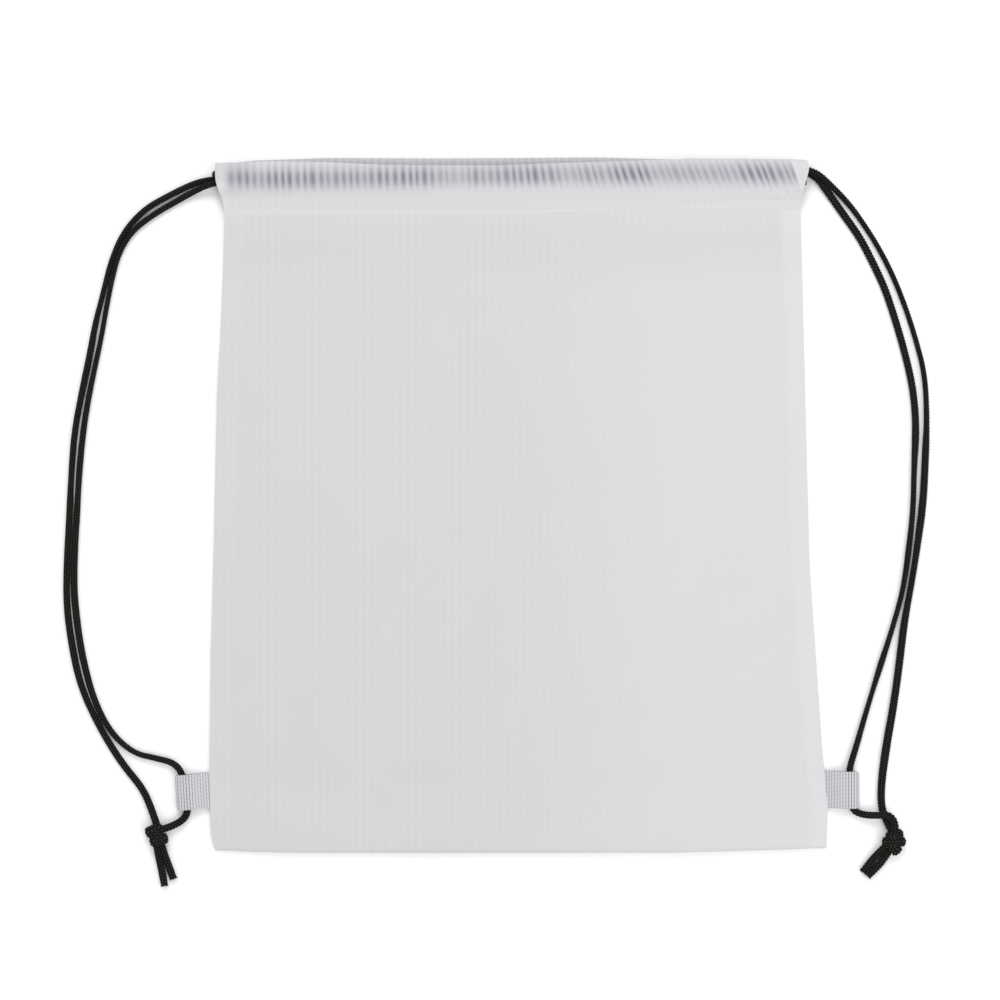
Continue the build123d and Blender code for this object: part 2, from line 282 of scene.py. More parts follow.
# Each strand's route, in millimetres, from inside its casing's end to the knot. FLAT is how high the middle
# of a cord lies on the floor, and WIDTHS how wide it lies there at shares of its length.
FLAT = 1.75
STRANDS = {
    "left_outer": [
        (-169.5, 189.6, 2.6), (-178.5, 189.0, 2.6), (-188.0, 186.2, 2.4), (-200.4, 180.2, FLAT),
        (-215.2, 172.0, FLAT), (-227.4, 158.6, FLAT), (-234.6, 142.0, FLAT), (-238.8, 124.6, FLAT),
        (-243.6, 106.0, FLAT), (-246.7, 88.0, FLAT), (-251.5, 65.5, FLAT), (-255.8, 43.0, FLAT),
        (-257.6, 18.0, FLAT), (-258.7, -7.0, FLAT), (-260.1, -32.0, FLAT), (-260.5, -57.0, FLAT),
        (-257.4, -81.0, FLAT), (-252.1, -105.5, FLAT), (-241.4, -128.5, FLAT), (-228.1, -150.0, FLAT),
        (-216.6, -163.6, FLAT), (-211.2, -175.0, 2.6), (-207.0, -187.0, 4.2),
    ],
    "left_inner": [
        (-169.5, 187.4, 7.2), (-177.0, 186.0, 6.6), (-187.4, 181.6, 3.0), (-198.4, 175.6, FLAT),
        (-210.4, 168.6, FLAT), (-222.4, 159.4, FLAT), (-229.9, 147.0, FLAT), (-234.0, 131.6, FLAT),
        (-237.4, 113.8, FLAT), (-240.3, 96.8, FLAT), (-245.2, 74.6, FLAT), (-249.8, 50.5, FLAT),
        (-252.6, 26.0, FLAT), (-254.0, 1.5, FLAT), (-255.7, -24.0, FLAT), (-256.3, -49.0, FLAT),
        (-253.8, -72.5, FLAT), (-250.3, -92.0, FLAT), (-244.5, -113.0, FLAT), (-235.2, -131.4, FLAT),
        (-221.8, -143.8, FLAT), (-207.8, -146.8, 2.4), (-197.4, -149.4, 2.8), (-192.4, -156.4, 3.2),
        (-190.8, -167.2, 3.3), (-189.6, -177.6, 3.2), (-192.6, -182.6, 3.0), (-199.4, -186.2, 3.6),
        (-205.0, -187.8, 4.4),
    ],
    "right_outer": [
        (166.5, 194.6, 7.4), (173.6, 193.4, 6.8), (182.6, 186.4, 3.2), (193.4, 175.8, FLAT),
        (202.5, 163.4, FLAT), (211.3, 149.4, FLAT), (219.3, 133.8, FLAT), (226.5, 115.8, FLAT),
        (232.6, 97.0, FLAT), (237.9, 76.6, FLAT), (239.2, 52.0, FLAT), (238.3, 27.6, FLAT),
        (237.1, 3.0, FLAT), (234.2, -19.6, FLAT), (230.5, -44.0, FLAT), (225.9, -68.0, FLAT),
        (223.3, -91.0, FLAT), (220.0, -115.0, FLAT), (215.9, -138.0, FLAT), (213.0, -158.0, FLAT),
        (212.4, -173.0, FLAT), (215.0, -182.4, 2.0), (219.4, -190.6, 3.6),
    ],
    "right_inner": [
        (166.5, 194.2, 2.8), (174.2, 192.0, 2.7), (181.6, 181.8, 2.2), (191.8, 167.6, FLAT),
        (200.7, 155.0, FLAT), (208.4, 139.8, FLAT), (214.7, 126.4, FLAT), (220.5, 109.0, FLAT),
        (226.2, 89.6, FLAT), (231.2, 68.0, FLAT), (233.0, 46.0, FLAT), (231.7, 22.0, FLAT),
        (231.2, -2.0, FLAT), (228.7, -25.0, FLAT), (225.4, -49.0, FLAT), (218.6, -73.0, FLAT),
        (210.0, -99.6, FLAT), (203.3, -121.6, FLAT), (198.2, -139.4, 2.4), (193.3, -154.4, 3.1),
        (194.4, -167.2, 3.3), (195.6, -176.4, 3.3), (200.8, -179.2, 3.6), (208.8, -179.6, 5.2),
        (216.2, -178.8, 5.6), (220.6, -183.8, 5.4), (220.0, -190.0, 5.0),
    ],
}
WIDTHS = {
    "left_outer": [
        (0, 3.6), (0.12, 3.5), (0.19, 2.9), (0.26, 2.9), (0.31, 3.7), (0.36, 3.9), (0.4, 3.5), (0.46, 3.6),
        (0.505, 3.4), (0.53, 3.8), (0.66, 3.9), (0.74, 4.1), (0.81, 3.6), (0.88, 4.0), (1, 4.2),
    ],
    "left_inner": [
        (0, 3.6), (0.12, 3.3), (0.18, 2.8), (0.27, 2.8), (0.32, 3.0), (0.38, 3.4), (0.44, 3.7), (0.48, 3.4),
        (0.51, 3.9), (0.64, 4.1), (0.7, 4.0), (0.78, 3.5), (0.84, 3.1), (0.88, 3.5), (0.92, 4.0), (1, 4.2),
    ],
    "right_outer": [
        (0, 3.8), (0.07, 3.2), (0.12, 2.75), (0.3, 2.75), (0.38, 2.9), (0.42, 3.2), (0.45, 4.1), (0.55, 4.4),
        (0.62, 3.5), (0.66, 3.6), (0.71, 4.4), (0.8, 4.4), (0.885, 4.8), (0.93, 4.4), (1, 4.0),
    ],
    "right_inner": [
        (0, 4.0), (0.08, 4.3), (0.2, 4.1), (0.36, 4.0), (0.41, 4.2), (0.45, 3.2), (0.52, 3.1), (0.56, 3.5),
        (0.62, 2.9), (0.68, 2.95), (0.72, 3.6), (0.76, 2.75), (0.8, 3.1), (0.85, 3.6), (0.92, 3.9), (1, 4.2),
    ],
}


# Each cord ends in an overhand knot tied in both strands, and its cut ends stand out past it.
TURN_HALF_HEIGHT = 2.5
KNOT_THICKNESS = 3.2
KNOT_TURN = [
    (0, -1), (0.75, -1), (1, -0.5), (1, 0.5), (0.7, 1), (0, 1.12), (-0.7, 1), (-1, 0.5), (-1, -0.5),
    (-0.75, -1), (0, -1),
]


def knot(name, bights):
    """The knot drawn tight: upright turns of the cord, each given by its middle, heading, reach and width."""
    turns = []
    for middle, heading, reach, width in bights:
        sideways = Vector((cos(radians(heading)), sin(radians(heading)), 0)) * reach
        up = Vector((0, 0, TURN_HALF_HEIGHT))
        line = route_line([Vector(middle) + sideways * a + up * b for a, b in KNOT_TURN])
        turns.append(braided_tube(name, line, [(0, width), (1, width)], bulk=width * KNOT_THICKNESS))
    bpy.ops.object.select_all(action="DESELECT")
    for turn in turns:
        turn.select_set(True)
    bpy.context.view_layer.objects.active = turns[0]
    bpy.ops.object.join()
    turns[0].name = name
    return turns[0]


LOOSE_FILAMENTS = 90
FILAMENT_RADIUS = 0.16 * MM
FILAMENT_ROOT = 0.8 * MM


def tail(name, points, seed):
    """A cut end of the cord: a short length of braid with its filaments sprung loose at the cut."""
    line = route_line(points)
    end = Vector(line[-1])
    ahead = Vector(line[-1] - line[-4]).normalized()
    across = ahead.cross(Vector((0, 0, 1))).normalized()
    piece = braided_tube(name, line, [(0, 4.1), (0.85, 4.3), (0.95, 4.1), (1, 3.4)], bulk=15.5)
    draw = np.random.default_rng(seed)
    loose = bmesh.new()
    loose.from_mesh(piece.data)
    for _ in range(LOOSE_FILAMENTS):
        sideways, up = draw.uniform(-1.9, 1.9) * MM, draw.uniform(-1.2, 1.2) * MM
        root = end - ahead * FILAMENT_ROOT + across * sideways + Vector((0, 0, up))
        reach = draw.uniform(0.2, 0.9) * MM
        drift = sideways * 0.35 + draw.uniform(-0.4, 0.4) * MM
        tip = root + ahead * (reach + FILAMENT_ROOT) + across * drift
        tip.z = max(tip.z + draw.uniform(-0.6, 0.5) * MM, 0.2 * MM)
        foot = []
        for angle in (0, 2.1, 4.2):
            rim = across * cos(angle) + Vector((0, 0, sin(angle)))
            foot.append(loose.verts.new(root + rim * FILAMENT_RADIUS))
        peak = loose.verts.new(tip)
        for a in range(3):
            loose.faces.new((foot[a], foot[(a + 1) % 3], peak))
        loose.faces.new(foot[::-1])
    loose.to_mesh(piece.data)
    loose.free()
    return piece


KNOTS = {
    "left": [
        ((-209.2, -188.2, 4.3), 24, 3.7, 6.4),
        ((-206.4, -193.8, 4.3), 15, 3.9, 5.9),
        ((-207.4, -190.9, 5.7), -47, 3.5, 5.2),
    ],
    "right": [
        ((219.9, -191.0, 4.3), 16, 3.7, 5.0),
        ((219.6, -194.8, 4.3), 2, 5.4, 5.3),
        ((219.0, -197.4, 4.3), -50, 4.0, 6.4),
        ((218.6, -194.4, 5.2), 62, 3.0, 4.7),
    ],
}
TAILS = {
    "left_outer": [
        (-207.8, -196.0, 3.6), (-207.2, -202.4, 2.4), (-205.4, -209.5, 2.1), (-203.4, -220.6, 2.1),
    ],
    "left_inner": [
        (-205.2, -195.6, 3.6), (-203.5, -202.2, 2.6), (-200.9, -209.4, 2.1), (-198.3, -216.6, 2.1),
    ],
    "right_outer": [
        (217.4, -199.6, 3.6), (213.3, -206.1, 2.8), (209.0, -210.9, 2.4), (204.7, -215.0, 2.2),
    ],
    "right_inner": [
        (214.6, -197.8, 3.6), (208.9, -203.8, 2.4), (205.2, -208.5, 2.1), (202.0, -212.8, 2.1),
    ],
}
FRAY_SEEDS = {"left_outer": 4, "left_inner": 5, "right_outer": 5, "right_inner": 6}
for side in ("left", "right"):
    lump = knot(f"{side}_knot_tied", KNOTS[side])
    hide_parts(f"{side}_knot")
    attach(lump, f"{side}_strap")
    for which in ("outer", "inner"):
        key = f"{side}_{which}"
        cut_end = tail(f"{key}_tail_cut", TAILS[key], FRAY_SEEDS[key])
        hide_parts(f"{key}_tail")
        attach(cut_end, f"{side}_strap")
    for which in ("outer", "inner"):
        key = f"{side}_{which}"
        line = route_line(STRANDS[key])
        strand = braided_tube(f"{key}_strand_braid", line, WIDTHS[key])
        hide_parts(f"{key}_strand", f"{key}_lead")
        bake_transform(strand)


# ---- Front of the bag ----
# Thin white polyester with a woven stripe, in one length with the back: it comes down from the front hem,
# rounds the bottom fold and meets the back there. Its two sides are sewn to the back's.
LEFT_EDGE = [
    (-201.4, -172.4), (-199.8, -173.9), (-196.5, -175.2), (-190.0, -176.3), (-176.0, -176.9),
    (-146.0, -177.1), (-87.0, -176.5), (-22.0, -174.7), (61.0, -173.0), (102.0, -170.9), (165.0, -168.2),
    (172.0, -167.9),
]
RIGHT_EDGE = [
    (-201.4, 179.9), (-199.0, 180.7), (-176.0, 181.4), (-136.0, 177.9), (-84.0, 174.4), (-32.0, 170.9),
    (50.0, 168.8), (97.0, 167.6), (135.0, 166.7), (167.0, 165.3), (172.0, 165.3),
]
BOTTOM_EDGE = [(-176, -200.0), (-137, -201.3), (90, -201.3), (160, -199.4), (181, -198.5)]
STRIPE = 4.28
TWILL = 1.35
HEM_LINE = [(-175, 166.9), (-9, 166.7), (40, 168.5), (76, 169.8), (175, 170.4)]


def along(points, place):
    """The value that a given list of points gives at a place, rounded off between its points."""
    x, y = np.array(points, float).T
    return sum(np.interp(place + shift, x, y) for shift in (-3, -1.5, 0, 1.5, 3)) / 5


def soft_step(value):
    """Eases from 0 to 1 as the value goes from 0 to 1."""
    value = np.clip(value, 0, 1)
    return value * value * (3 - 2 * value)


def outwards(x, y):
    """0 on the bag's middle line, 1 at its sides."""
    left, right = np.interp(y, *np.array(LEFT_EDGE).T), np.interp(y, *np.array(RIGHT_EDGE).T)
    return np.clip(np.abs(2 * x - left - right) / (right - left), 0, 1)


def mouth_slack(x):
    """How far the front casing stands off the back one: most at the middle, nothing at the side seams."""
    return 3.2 * (1 - np.clip(np.abs(x) / 168, 0, 1) ** 2)


SEAM_HEIGHT = 2.35
CASING_STEP = 3.25
FOLD_SWELL = 2.2
AIR_INSIDE = 3.4
WAVE_HEIGHT = 0.22


def front_height(x, y):
    """Top of the front cloth over the floor: some air inside, thin at the sides, high at the cased mouth."""
    out = outwards(x, y)
    mouth = soft_step((y - 100) / 70)
    near_fold = 1 - soft_step((y + 197) / 40)
    side = SEAM_HEIGHT + CASING_STEP * soft_step((y - 130) / 38) + FOLD_SWELL * (1 - out**6) * near_fold
    air = AIR_INSIDE * (1 - out**2.4) * soft_step((y + 201) / 60)
    waves = np.sin(x / 27 + 0.6 * np.sin(y / 61)) * np.sin(y / 83 + 0.9) + 0.6 * np.sin(x / 13 - y / 47 + 2)
    waves += 0.7 * np.sin((x + 0.8 * y) / 31 + 1)
    slack = mouth_slack(x) * mouth
    return side + air * (1 - mouth) + slack + WAVE_HEIGHT * waves * (1 - out**4) * (1 - 0.6 * mouth)


def cloth_material(name, light, shade, sheer):
    """Fine striped cloth: its colour on a stripe and in the hollow beside it, and the light it lets through.
    The cloth's own points say where a second layer whitens it, where painted light whitens it, where the
    black cord shows through it and where painted shade darkens it."""
    material, maths, output = new_material(name)
    uv = maths.out(maths.node("ShaderNodeUVMap", {"uv_map": "cloth"}))
    place = maths.node("ShaderNodeSeparateXYZ", None, Vector=uv)
    x, y = maths.out(place, 0), maths.out(place, 1)
    touch = maths.out(maths.node("ShaderNodeAttribute", {"attribute_name": "touch"}), "Fac")
    doubled = maths.out(maths.node("ShaderNodeAttribute", {"attribute_name": "doubled"}), "Fac")
    drift = maths.noise(uv, 14.0)
    patch = maths.noise(uv, 38.0, 4.0)
    stripe = (x * (tau * 1000 / STRIPE) + drift * 3.0).sine()
    twill = ((x + y * 0.8) * (tau * 1000 / TWILL)).sine()
    grain = stripe * (0.18 + 0.34 * patch) + twill * 0.5 + patch * 0.9 - 0.45 + drift * 0.6 - 0.3
    plain = maths.mix(0.5 + 0.42 * grain, shade, light)
    # The whiter colour of a second layer under the cloth, also used for painted light towards the right.
    thick = maths.mix(doubled * 0.9, plain, (0.690, 0.690, 0.712, 1))
    # The black shown through the cloth: the cords inside, and also painted shade and shadow.
    seen = maths.mix(touch * (0.86 + 0.28 * patch), thick, (0.085, 0.082, 0.150, 1))
    relief = stripe * 0.8 + twill * 0.35
    bump = maths.node("ShaderNodeBump", None, Height=relief, Strength=0.5, Distance=0.00005)
    face = maths.node(
        "ShaderNodeBsdfPrincipled",
        None,
        Base_Color=seen,
        Roughness=0.72,
        Normal=maths.out(bump),
        Specular_IOR_Level=0.22,
        Sheen_Weight=0.08,
        Sheen_Roughness=0.5,
    )
    through = maths.node("ShaderNodeBsdfTranslucent", None, Color=seen)
    blend = maths.node("ShaderNodeMixShader", None, _0=sheer)
    maths.tree.links.new(face.outputs[0], blend.inputs[1])
    maths.tree.links.new(through.outputs[0], blend.inputs[2])
    maths.tree.links.new(blend.outputs[0], output.inputs[0])
    return material


WHITE_CLOTH = cloth_material(
    "white striped cloth",
    light=(0.650, 0.642, 0.649, 1),
    shade=(0.604, 0.595, 0.603, 1),
    sheer=0.14,
)


def cloth_piece(name, grid, closed=False, touch=0.0, doubled=0.0, lean=0.0, wall=0.28):
    """Cloth over a grid of points in millimetres, with its wall laid under it. closed joins the last row to
    the first. The next argument says where a cord inside shows through and where painted shade darkens it,
    the one after where a second layer lies under and where painted light whitens it, and lean how far the
    woven stripes lean."""
    rows, columns = grid.shape[:2]
    faces = []
    for i in range(rows if closed else rows - 1):
        below, above = i * columns, (i + 1) % rows * columns
        for j in range(columns - 1):
            faces.append((below + j, below + j + 1, above + j + 1, above + j))
    mesh = bpy.data.meshes.new(name)
    mesh.from_pydata([tuple(p) for p in grid.reshape(-1, 3) * MM], [], faces)
    for key, value in (("touch", touch), ("doubled", doubled)):
        spread = np.broadcast_to(value, (rows, columns)).astype(np.float32)
        mesh.attributes.new(key, "FLOAT", "POINT").data.foreach_set("value", spread.ravel())
    owner = np.empty(len(mesh.loops), np.int32)
    mesh.loops.foreach_get("vertex_index", owner)
    flat = np.stack([grid[..., 0] - lean * grid[..., 1], grid[..., 1]], -1)
    flat = (flat.reshape(-1, 2) * MM).astype(np.float32)
    mesh.uv_layers.new(name="cloth").data.foreach_set("uv", flat[owner].ravel())
    mesh.materials.append(WHITE_CLOTH)
    mesh.shade_smooth()
    piece = bpy.data.objects.new(name, mesh)
    bpy.context.scene.collection.objects.link(piece)
    solidify = piece.modifiers.new("wall", "SOLIDIFY")
    solidify.thickness = wall * MM
    solidify.offset = -1
    bpy.ops.object.select_all(action="DESELECT")
    piece.select_set(True)
    bpy.context.view_layer.objects.active = piece
    bpy.ops.object.modifier_apply(modifier="wall")
    bpy.ops.object.shade_smooth_by_angle(angle=radians(50))
    return piece


RISE_START_Y = -196
RISE_LENGTH = 90
SEWN_X = 171


def follow_mouth(piece):
    """Works out each point's share of the open mouth's rise: all of it at the front's middle, none at its
    sides or fold.
    The share stands in each point's x while the piece's placement is baked in, and then the points go back."""
    mesh = piece.data
    kept = np.empty(len(mesh.vertices) * 3, np.float32)
    mesh.vertices.foreach_get("co", kept)
    place = kept.reshape(-1, 3) / MM
    rise = soft_step((place[:, 1] - RISE_START_Y) / RISE_LENGTH)
    marked = np.zeros_like(place)
    marked[:, 0] = (1 - np.clip(np.abs(place[:, 0]) / SEWN_X, 0, 1)) * rise
    mesh.vertices.foreach_set("co", marked.ravel())
    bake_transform(piece)
    mesh.vertices.foreach_set("co", kept)
    mesh.update()


FOLD_DEPTH = 0.7
FOLD_FLOOR = 0.3


def front_points():
    """The front cloth's grid: from under its hem down over its face, then round the bottom fold."""
    across, up = np.linspace(0, 1, 171)[None, :], np.linspace(0, 1, 161)[:, None]
    low_y = along(BOTTOM_EDGE, -176 + 357 * across) + FOLD_DEPTH
    y = low_y + (174.0 - low_y) * up
    x = along(LEFT_EDGE, y) * (1 - across) + along(RIGHT_EDGE, y) * across
    z = front_height(x, y) - 0.1 * soft_step((y - 165) / 4)
    fold = []
    for turn in np.linspace(0, pi, 10)[1:]:
        height = FOLD_FLOOR + (z[0] - FOLD_FLOOR) * (0.5 + 0.5 * cos(turn)) ** 1.5
        fold.append(np.stack([x[0], y[0] - FOLD_DEPTH * sin(turn), height], -1))
    return np.concatenate([np.stack([x, y, z], -1)[::-1], np.array(fold)])


def whitened_and_lit(x, y):
    """How much the front is made whiter: a little by the allowances under its sides, and by painted light
    towards the right, over its right half and along its right side.
    """
    strip = np.minimum(x - along(LEFT_EDGE, y), along(RIGHT_EDGE, y) - x)
    # Painted light: the allowance strips whiten more towards the right, the right half is whitened, and the
    # right side more.
    sides = (1 - soft_step((strip - 9) / 6)) * (0.12 + 0.45 * soft_step((x + 60) / 120))
    painted_right_light = 0.42 * soft_step((x + 20) / 130) * (1 - 0.65 * soft_step((y - 112) / 46))
    return np.maximum(sides, painted_right_light) + 0.2 * (x > 0) * soft_step((12 - strip) / 4)


front_grid = front_points()
front_x, front_y = front_grid[..., 0], front_grid[..., 1]
stripe_lean = 0.095 * soft_step((front_x + 60) / 220)
# The front's whitening holds painted light towards the right.
front = cloth_piece("front_cloth", front_grid, doubled=whitened_and_lit(front_x, front_y), lean=stripe_lean)
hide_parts("front_panel", "bottom_fold")
follow_mouth(front)


# ---- Back of the bag ----
# The same length of white cloth as the front. It goes on from the bottom fold and lies flat on the floor
# up to the back hem, under the front and sewn to its two sides.
def back_points():
    """The back cloth's grid, from the bottom fold up to under the back casing, hardly waved."""
    across, up = np.linspace(0, 1, 71)[None, :], np.linspace(0, 1, 76)[:, None]
    low_y = along(BOTTOM_EDGE, -175 + 354 * across) + 1.3
    y = low_y + (172.0 - low_y) * up
    x = (along(LEFT_EDGE, y) + 0.3) * (1 - across) + (along(RIGHT_EDGE, y) - 0.3) * across
    return np.stack([x, y, 0.55 + 0.12 * np.sin(x / 21) * np.sin(y / 33)], -1)[::-1]


back = cloth_piece("back_cloth", back_points())
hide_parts("back_panel")
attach(back, "bag")


# ---- Side seams ----
# The front's and back's sides, sewn together and turned in: a rounded edge outside, a flat allowance inside
# it on the back cloth, and the row of stitches between them.
def dashes(name, centres, headings, length=2.3, thick=0.21):
    """A row of stitches: at each centre a short thread along its heading, its ends dipping in the cloth."""
    shape = [(-0.5, 0.35), (-0.32, 0.9), (0.0, 1.0), (0.32, 0.9), (0.5, 0.35)]
    corners, faces = [], []
    for centre, heading in zip(centres, headings):
        heading = Vector(heading).normalized()
        side = heading.cross(Vector((0, 0, 1))).normalized()
        start = len(corners)
        for share, swell in shape:
            for corner in range(6):
                angle = tau * corner / 6
                sink = Vector((0, 0, -0.2 * (1 - swell)))
                rim = side * cos(angle) * swell + Vector((0, 0, sin(angle) * swell))
                corners.append((Vector(centre) + heading * share * length + rim * thick + sink) * MM)
        for i in range(len(shape) - 1):
            for j in range(6):
                a, b = start + i * 6 + j, start + i * 6 + (j + 1) % 6
                faces.append((a, b, b + 6, a + 6))
        faces.append([start + j for j in range(5, -1, -1)])
        faces.append([start + 24 + j for j in range(6)])
    mesh = bpy.data.meshes.new(name)
    mesh.from_pydata(corners, [], faces)
    turned = bmesh.new()
    turned.from_mesh(mesh)
    bmesh.ops.recalc_face_normals(turned, faces=turned.faces)
    turned.to_mesh(mesh)
    turned.free()
    mesh.materials.append(WHITE_THREAD)
    mesh.shade_smooth()
    piece = bpy.data.objects.new(name, mesh)
    bpy.context.scene.collection.objects.link(piece)
    return piece


def thread_material():
    """Off-white spun thread, mottled by its plies."""
    material, maths, output = new_material("white sewing thread")
    place = maths.out(maths.node("ShaderNodeTexCoord"), "Object")
    ply = maths.noise(place, 1500.0)
    shader = maths.node(
        "ShaderNodeBsdfPrincipled",
        None,
        Base_Color=maths.mix(ply, (0.38, 0.355, 0.32, 1), (0.58, 0.56, 0.53, 1)),
        Roughness=0.55 + 0.2 * ply,
        Sheen_Weight=0.1,
    )
    maths.tree.links.new(shader.outputs[0], output.inputs[0])
    return material


WHITE_THREAD = thread_material()
ALLOWANCE = 12.0
STITCH_PITCH = 3.1
# The right seam's rim is whitened by painted light; the left one's is not.
for side, edge, outward, rim_painted_light in (("left", LEFT_EDGE, -1, 0.0), ("right", RIGHT_EDGE, 1, 0.6)):
    seam_y = np.linspace(-199.0, 173.0, 150)[None, :]
    seam_x = along(edge, seam_y)
    top = front_height(seam_x, seam_y) - 0.05
    bend = np.linspace(-pi / 2, pi / 2, 9)[:, None]
    depth = FOLD_FLOOR + (top - FOLD_FLOOR) * (0.5 + 0.5 * np.sin(bend))
    rim_x = seam_x + outward * (0.22 * np.cos(bend) - 0.14)
    rim_grid = np.stack(np.broadcast_arrays(rim_x, seam_y, depth), -1)
    rim = cloth_piece(f"{side}_seam_edge", rim_grid[::outward], doubled=rim_painted_light)
    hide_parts(f"{side}_side_seam")
    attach(rim, "bag")
    inset = np.linspace(0.8, ALLOWANCE, 6)[:, None]
    flat_grid = np.stack(np.broadcast_arrays(seam_x - outward * inset, seam_y, 1.05), -1)
    allowance = cloth_piece(f"{side}_allowance", flat_grid[::outward][:, ::-1], wall=0.4)
    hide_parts(f"{side}_seam_allowance")
    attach(allowance, "bag")
    stitch_y = np.arange(-195.0, 166.0, STITCH_PITCH)
    stitch_x = along(edge, stitch_y) - outward * 1.5
    spots = [(a, b, 1.2) for a, b in zip(stitch_x, stitch_y)]
    row = dashes(f"{side}_seam_stitches", spots, [(0.02, 1, 0)] * len(spots))
    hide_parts(f"{side}_side_seam_thread")
    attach(row, "bag")


# ---- Casings ----
# Each mouth edge is turned in and sewn down as a channel about 30 mm deep. The two cords lie in its upper
# half; the thin cloth crinkles over them and their black shows through in grey stripes.
LEFT_END = [
    (167, -167.9), (171, -168.1), (177, -169.3), (183, -171.6), (187.5, -173.0), (192, -173.2), (198, -173.3),
]
RIGHT_END = [
    (167, 164.8), (176, 165.2), (184, 167.0), (191.4, 169.1), (195.8, 170.0), (198.2, 170.0), (200.2, 168.2),
]
FRONT_TOP = [
    (-174, 197.8), (-140, 198.7), (-107, 198.1), (-84, 196.9), (-70, 196.3), (-9, 196.0), (19, 197.1),
    (62, 198.5), (84, 199.2), (95, 199.7), (104, 200.3), (160, 200.0), (171, 199.7),
]
BACK_TOP = [
    (-174, 197.6), (-150, 200.1), (-107, 201.6), (-41, 201.3), (-9, 201.5), (49, 201.9), (103, 200.6),
    (171, 199.3),
]
BACK_HEM_LINE = [(-175, 168.3), (175, 168.3)]
STITCH_LINE = [
    (-175, 173.2), (-120, 172.0), (-9, 170.8), (60, 172.0), (90, 173.0), (117, 176.4), (163, 177.4),
]
OUTER_WALL = [
    (0, -0.25), (0.03, 0.05), (0.11, 0.45), (0.22, 1.2), (0.34, 2.4), (0.46, 3.6), (0.56, 4.3), (0.7, 4.6),
    (0.82, 4.4), (0.91, 3.8), (0.97, 2.9), (1, 2.0),
]
INNER_WALL = [(0, 0.0), (0.8, 0.05), (0.92, 0.3), (0.975, 0.9), (1, 2.0)]
BACK_INSIDE = 5.2
CASING_FLOOR = 5.55
BAND_Y = 188.4
BAND_RISE = 3.1
BAND_HALF = 6.1
CRINKLES = 120
draw = np.random.default_rng(7)
crinkle_shift = draw.uniform(-0.9, 0.9, CRINKLES)
crinkle_depth = draw.uniform(0.30, 1.0, CRINKLES)


def crinkles(x, y):
    """The cloth's crinkles across the cords: how deep it hangs in each, and how strong each one is."""
    lean = -0.04 - 0.36 * soft_step((x + 40) / 150)
    count = (x - lean * (y - 191) + 200) / STRIPE
    places = np.arange(CRINKLES)
    count = count + np.interp(count, places, crinkle_shift) * 0.22
    strength = np.interp(count, places, crinkle_depth)
    strength = strength * (0.82 + 0.18 * np.sin(x / 11 + 1.1)) + 0.12 * soft_step(1 - np.abs(x + 95) / 26)
    return 0.5 - 0.5 * np.cos(tau * count), strength


def front_base(x):
    """Height of the front casing's underside."""
    return CASING_FLOOR + mouth_slack(x)


def settling(x):
    """How far the casing's wall is pressed down towards its two ends."""
    return 0.45 * soft_step((np.abs(x) - 150) / 22)


